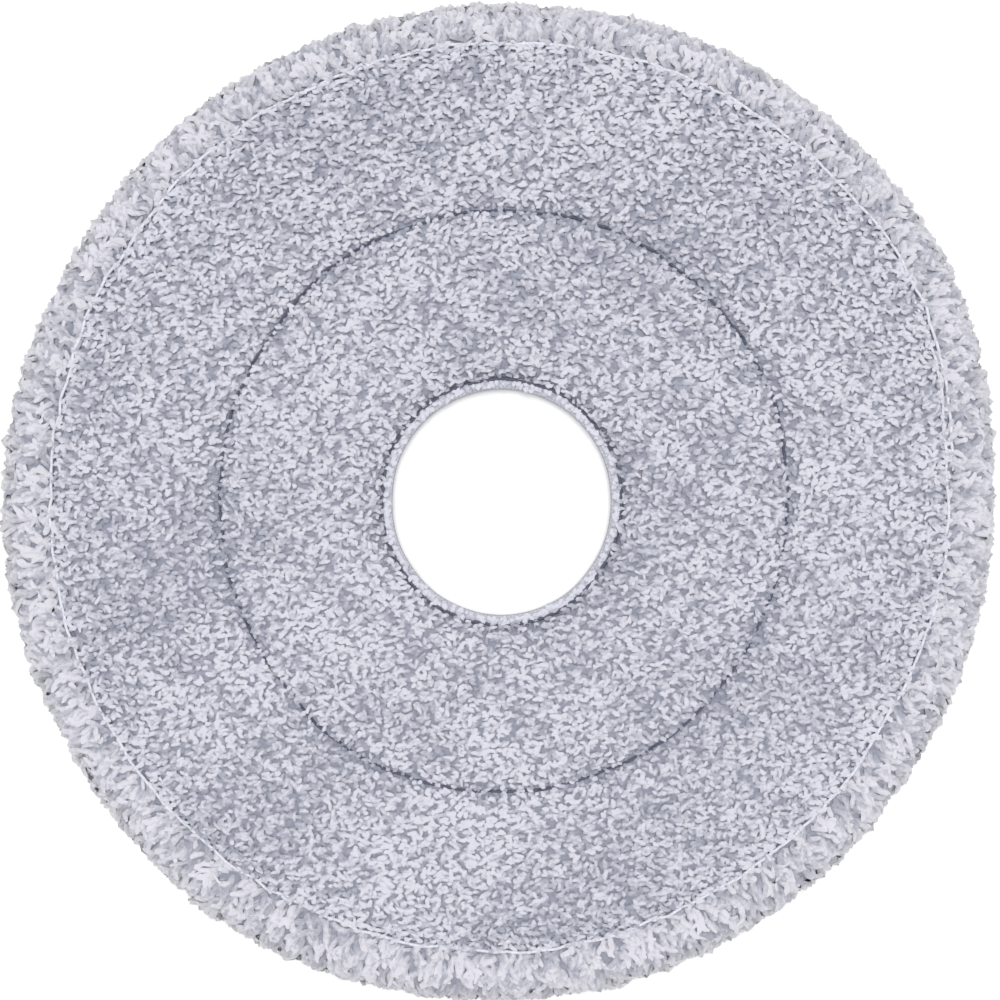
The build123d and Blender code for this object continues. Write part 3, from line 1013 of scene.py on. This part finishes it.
class PAD_OT_back(Operator):
    """Makes the backing cloth and the ring of touch-fastener loop on it."""

    bl_idname = "mop_pad.back"
    bl_label = "Back"

    def execute(self, context):
        colours = context.scene.mop_pad_colours
        rng = np.random.default_rng(53)
        rows, count = 60, 400
        radii = np.linspace(layer_inner, layer_edge, rows)
        radii = np.concatenate((radii, radii[::-1]))
        heights = np.concatenate((np.full(rows, backing_bottom), np.full(rows, backing_top)))
        points = carried_round(radii, heights, count)
        puckers = np.exp(-np.abs(radii[:rows] - leaf_edge) / (6 * MM))[:, None]
        points[:rows, :, 2] += 0.12 * MM * (1 - puckers) * drift(points[:rows], 15 * MM, rng) - 0.1 * MM
        corners = points.reshape(-1, 3)[grid_faces(2 * rows, count, True, True)]
        material = woven_material("backing_knit", colours.backing, along=340.0, across=260.0, depth=0.2 * MM)
        backing = ring_piece("backing", points, material, "backing", "backing_cloth",
                             maps={"cloth": corners[..., :2]})

        rows, count = 90, 680
        margin_low = patch_top - 0.7 * MM
        low = np.linspace(tape_edge + 0.1 * MM, patch_edge, rows)
        radii = np.concatenate((low, [patch_edge, layer_inner, layer_inner, low[0]]))
        heights = np.concatenate((np.zeros(rows), [patch_top, patch_top, margin_low, margin_low]))
        points = carried_round(radii, heights, count)
        loops = 0.5 + 0.3 * drift(points[:rows], 1.7 * MM, rng) + 0.25 * drift(points[:rows], 1.1 * MM, rng)
        seam = hill(low - ring_seam, 0.7 * MM)[:, None]
        edge = np.exp(-(patch_edge - low) / (0.6 * MM))[:, None]
        relief = 0.38 * np.clip(loops, 0, 1) * (1 - seam) + 0.7 * seam + 0.35 * edge
        points[:rows, :, 2] += relief * MM
        material = fluffy_material("loop_pile", colours.loop, scale=900.0)
        patch = ring_piece("loop_ring", points, material, "loop", "loop_patch")
        return {"FINISHED"}


class PAD_OT_seams(Operator):
    """Makes the threads of the three seams: stitches on the face and under threads on the back."""

    bl_idname = "mop_pad.seams"
    bl_label = "Seams"

    def execute(self, context):
        sizes, colours = context.scene.mop_pad_sizes, context.scene.mop_pad_colours
        rng = np.random.default_rng(67)
        white = (thread_material("white_thread", colours.white_thread), "white_thread")
        dark = (thread_material("dark_thread", colours.dark_thread), "dark_thread")

        path = seam_path(edge_seam, edge_seam_top + 1.45 * MM, turns=1.06, stitch=sizes.white_stitch,
                         dip=0.9 * MM, kink=0.5 * MM, rng=rng, sway=white_spiral)
        self.thread("edge_seam_stitches", path, white_thread, white, "edge_seam_needle_thread",
                    start=0.1, closed=False)
        # The dark needle threads are drawn 1.4 and 1.5 times their thickness: the extra width stands in for
        # the shade beside their stitches
        path = seam_path(ring_seam, ring_seam_top + 1.85 * MM, turns=1.0, stitch=sizes.dark_stitch,
                         dip=1.5 * MM, kink=0.35 * MM, rng=rng)
        self.thread("ring_seam_stitches", path, dark_thread * 1.4, dark, "ring_seam_needle_thread")
        path = seam_path(hole_seam, hole_seam_top + 0.6 * MM, turns=1.0, stitch=sizes.dark_stitch,
                         dip=0.6 * MM, kink=0.2 * MM, rng=rng)
        self.thread("hole_seam_stitches", path, dark_thread * 1.5, dark, "hole_seam_needle_thread")
        for name, seam, height, stitch, width, yarn in (
                ("edge_seam", edge_seam, white_seam_back, sizes.white_stitch, white_thread, white),
                ("ring_seam", ring_seam, dark_seam_back, sizes.dark_stitch, dark_thread, dark),
                ("hole_seam", hole_seam, dark_seam_back, sizes.dark_stitch, dark_thread, dark)):
            path = seam_path(seam, height, turns=1.0, stitch=stitch, dip=-0.3 * MM, kink=0.15 * MM, rng=rng)
            self.thread(f"{name}_under_thread", path, width * 0.9, yarn, f"{name}_bobbin_thread")
        return {"FINISHED"}

    def thread(self, name, path, width, yarn, node, start=0.0, closed=True):
        """One thread piece along its path from a start angle, of twisted plies of a yarn."""
        plies, twist = 3, 2.2 * MM
        angle, radius, height = path
        line = lay(radius, angle + start, height)
        length = np.linalg.norm(np.diff(line, axis=0), axis=1).sum()
        points, faces = strand(line, width, plies, round(length / twist), closed)
        make_piece(name, points, faces, *yarn, node)


class PAD_OT_stage(Operator):
    """Makes the floor, the light and the camera, which looks straight down at the pad."""

    bl_idname = "mop_pad.stage"
    bl_label = "Stage"

    def execute(self, context):
        sizes, colours = context.scene.mop_pad_sizes, context.scene.mop_pad_colours
        scene = context.scene
        floor_reach, floor_gap = 2.0, 0.05 * MM
        line = np.linspace(-floor_reach, floor_reach, 9)
        x, y = np.meshgrid(line, line)
        points = np.stack((x, y, np.full_like(x, -floor_gap)), axis=-1)
        faces = grid_faces(len(line), len(line), False, False)
        mesh = bpy.data.meshes.new("floor")
        mesh.from_pydata(points.reshape(-1, 3).tolist(), [], faces.tolist())
        mesh.materials.append(floor_material(colours))
        floor = bpy.data.objects.new("floor", mesh)
        scene.collection.objects.link(floor)

        world = bpy.data.worlds.new("studio")
        world.use_nodes = True
        world.node_tree.nodes["Background"].inputs["Color"].default_value = (1.0, 1.0, 1.0, 1.0)
        world.node_tree.nodes["Background"].inputs["Strength"].default_value = 0.35
        scene.world = world
        lamp = bpy.data.lights.new("overhead", "SUN")
        lamp.energy, lamp.angle = 2.55, 0.45
        overhead = bpy.data.objects.new("overhead", lamp)
        overhead.rotation_euler = (-0.08, 0.0, 0.0)
        scene.collection.objects.link(overhead)

        camera = bpy.data.cameras.new("camera")
        camera.lens, camera.sensor_width = 100.0, 36.0
        eye = bpy.data.objects.new("camera", camera)
        distance = sizes.view_width * camera.lens / camera.sensor_width
        eye.location = (-0.3 * MM, 0.4 * MM, 6 * MM + distance)
        scene.collection.objects.link(eye)
        scene.camera = eye
        scene.view_settings.view_transform = "Standard"
        return {"FINISHED"}


class PAD_PT_panel(Panel):
    """Lists what makes the pad, with its sizes and colours."""

    bl_label = "Mop pad"
    bl_idname = "PAD_PT_panel"
    bl_space_type = "VIEW_3D"
    bl_region_type = "UI"
    bl_category = "Mop pad"

    def draw(self, context):
        for maker in makers:
            self.layout.operator(maker.bl_idname)
        for group in (context.scene.mop_pad_sizes, context.scene.mop_pad_colours):
            for key in group.__annotations__:
                self.layout.prop(group, key)


makers = (PAD_OT_face, PAD_OT_pile, PAD_OT_rim, PAD_OT_tape, PAD_OT_back, PAD_OT_seams, PAD_OT_stage)
classes = (PadSizes, PadColours, *makers, PAD_PT_panel)


def register():
    """Registers the classes and puts the sizes and colours on the scene."""
    for cls in classes:
        bpy.utils.register_class(cls)
    bpy.types.Scene.mop_pad_sizes = PointerProperty(type=PadSizes)
    bpy.types.Scene.mop_pad_colours = PointerProperty(type=PadColours)


def unregister():
    """Takes the sizes and colours off the scene and unregisters the classes."""
    del bpy.types.Scene.mop_pad_colours
    del bpy.types.Scene.mop_pad_sizes
    for cls in reversed(classes):
        bpy.utils.unregister_class(cls)


def main():
    """Registers the add-on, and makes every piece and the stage."""
    register()
    bpy.ops.mop_pad.face()
    bpy.ops.mop_pad.pile()
    bpy.ops.mop_pad.rim()
    bpy.ops.mop_pad.tape()
    bpy.ops.mop_pad.back()
    bpy.ops.mop_pad.seams()
    bpy.ops.mop_pad.stage()


if __name__ == "__main__":
    main()
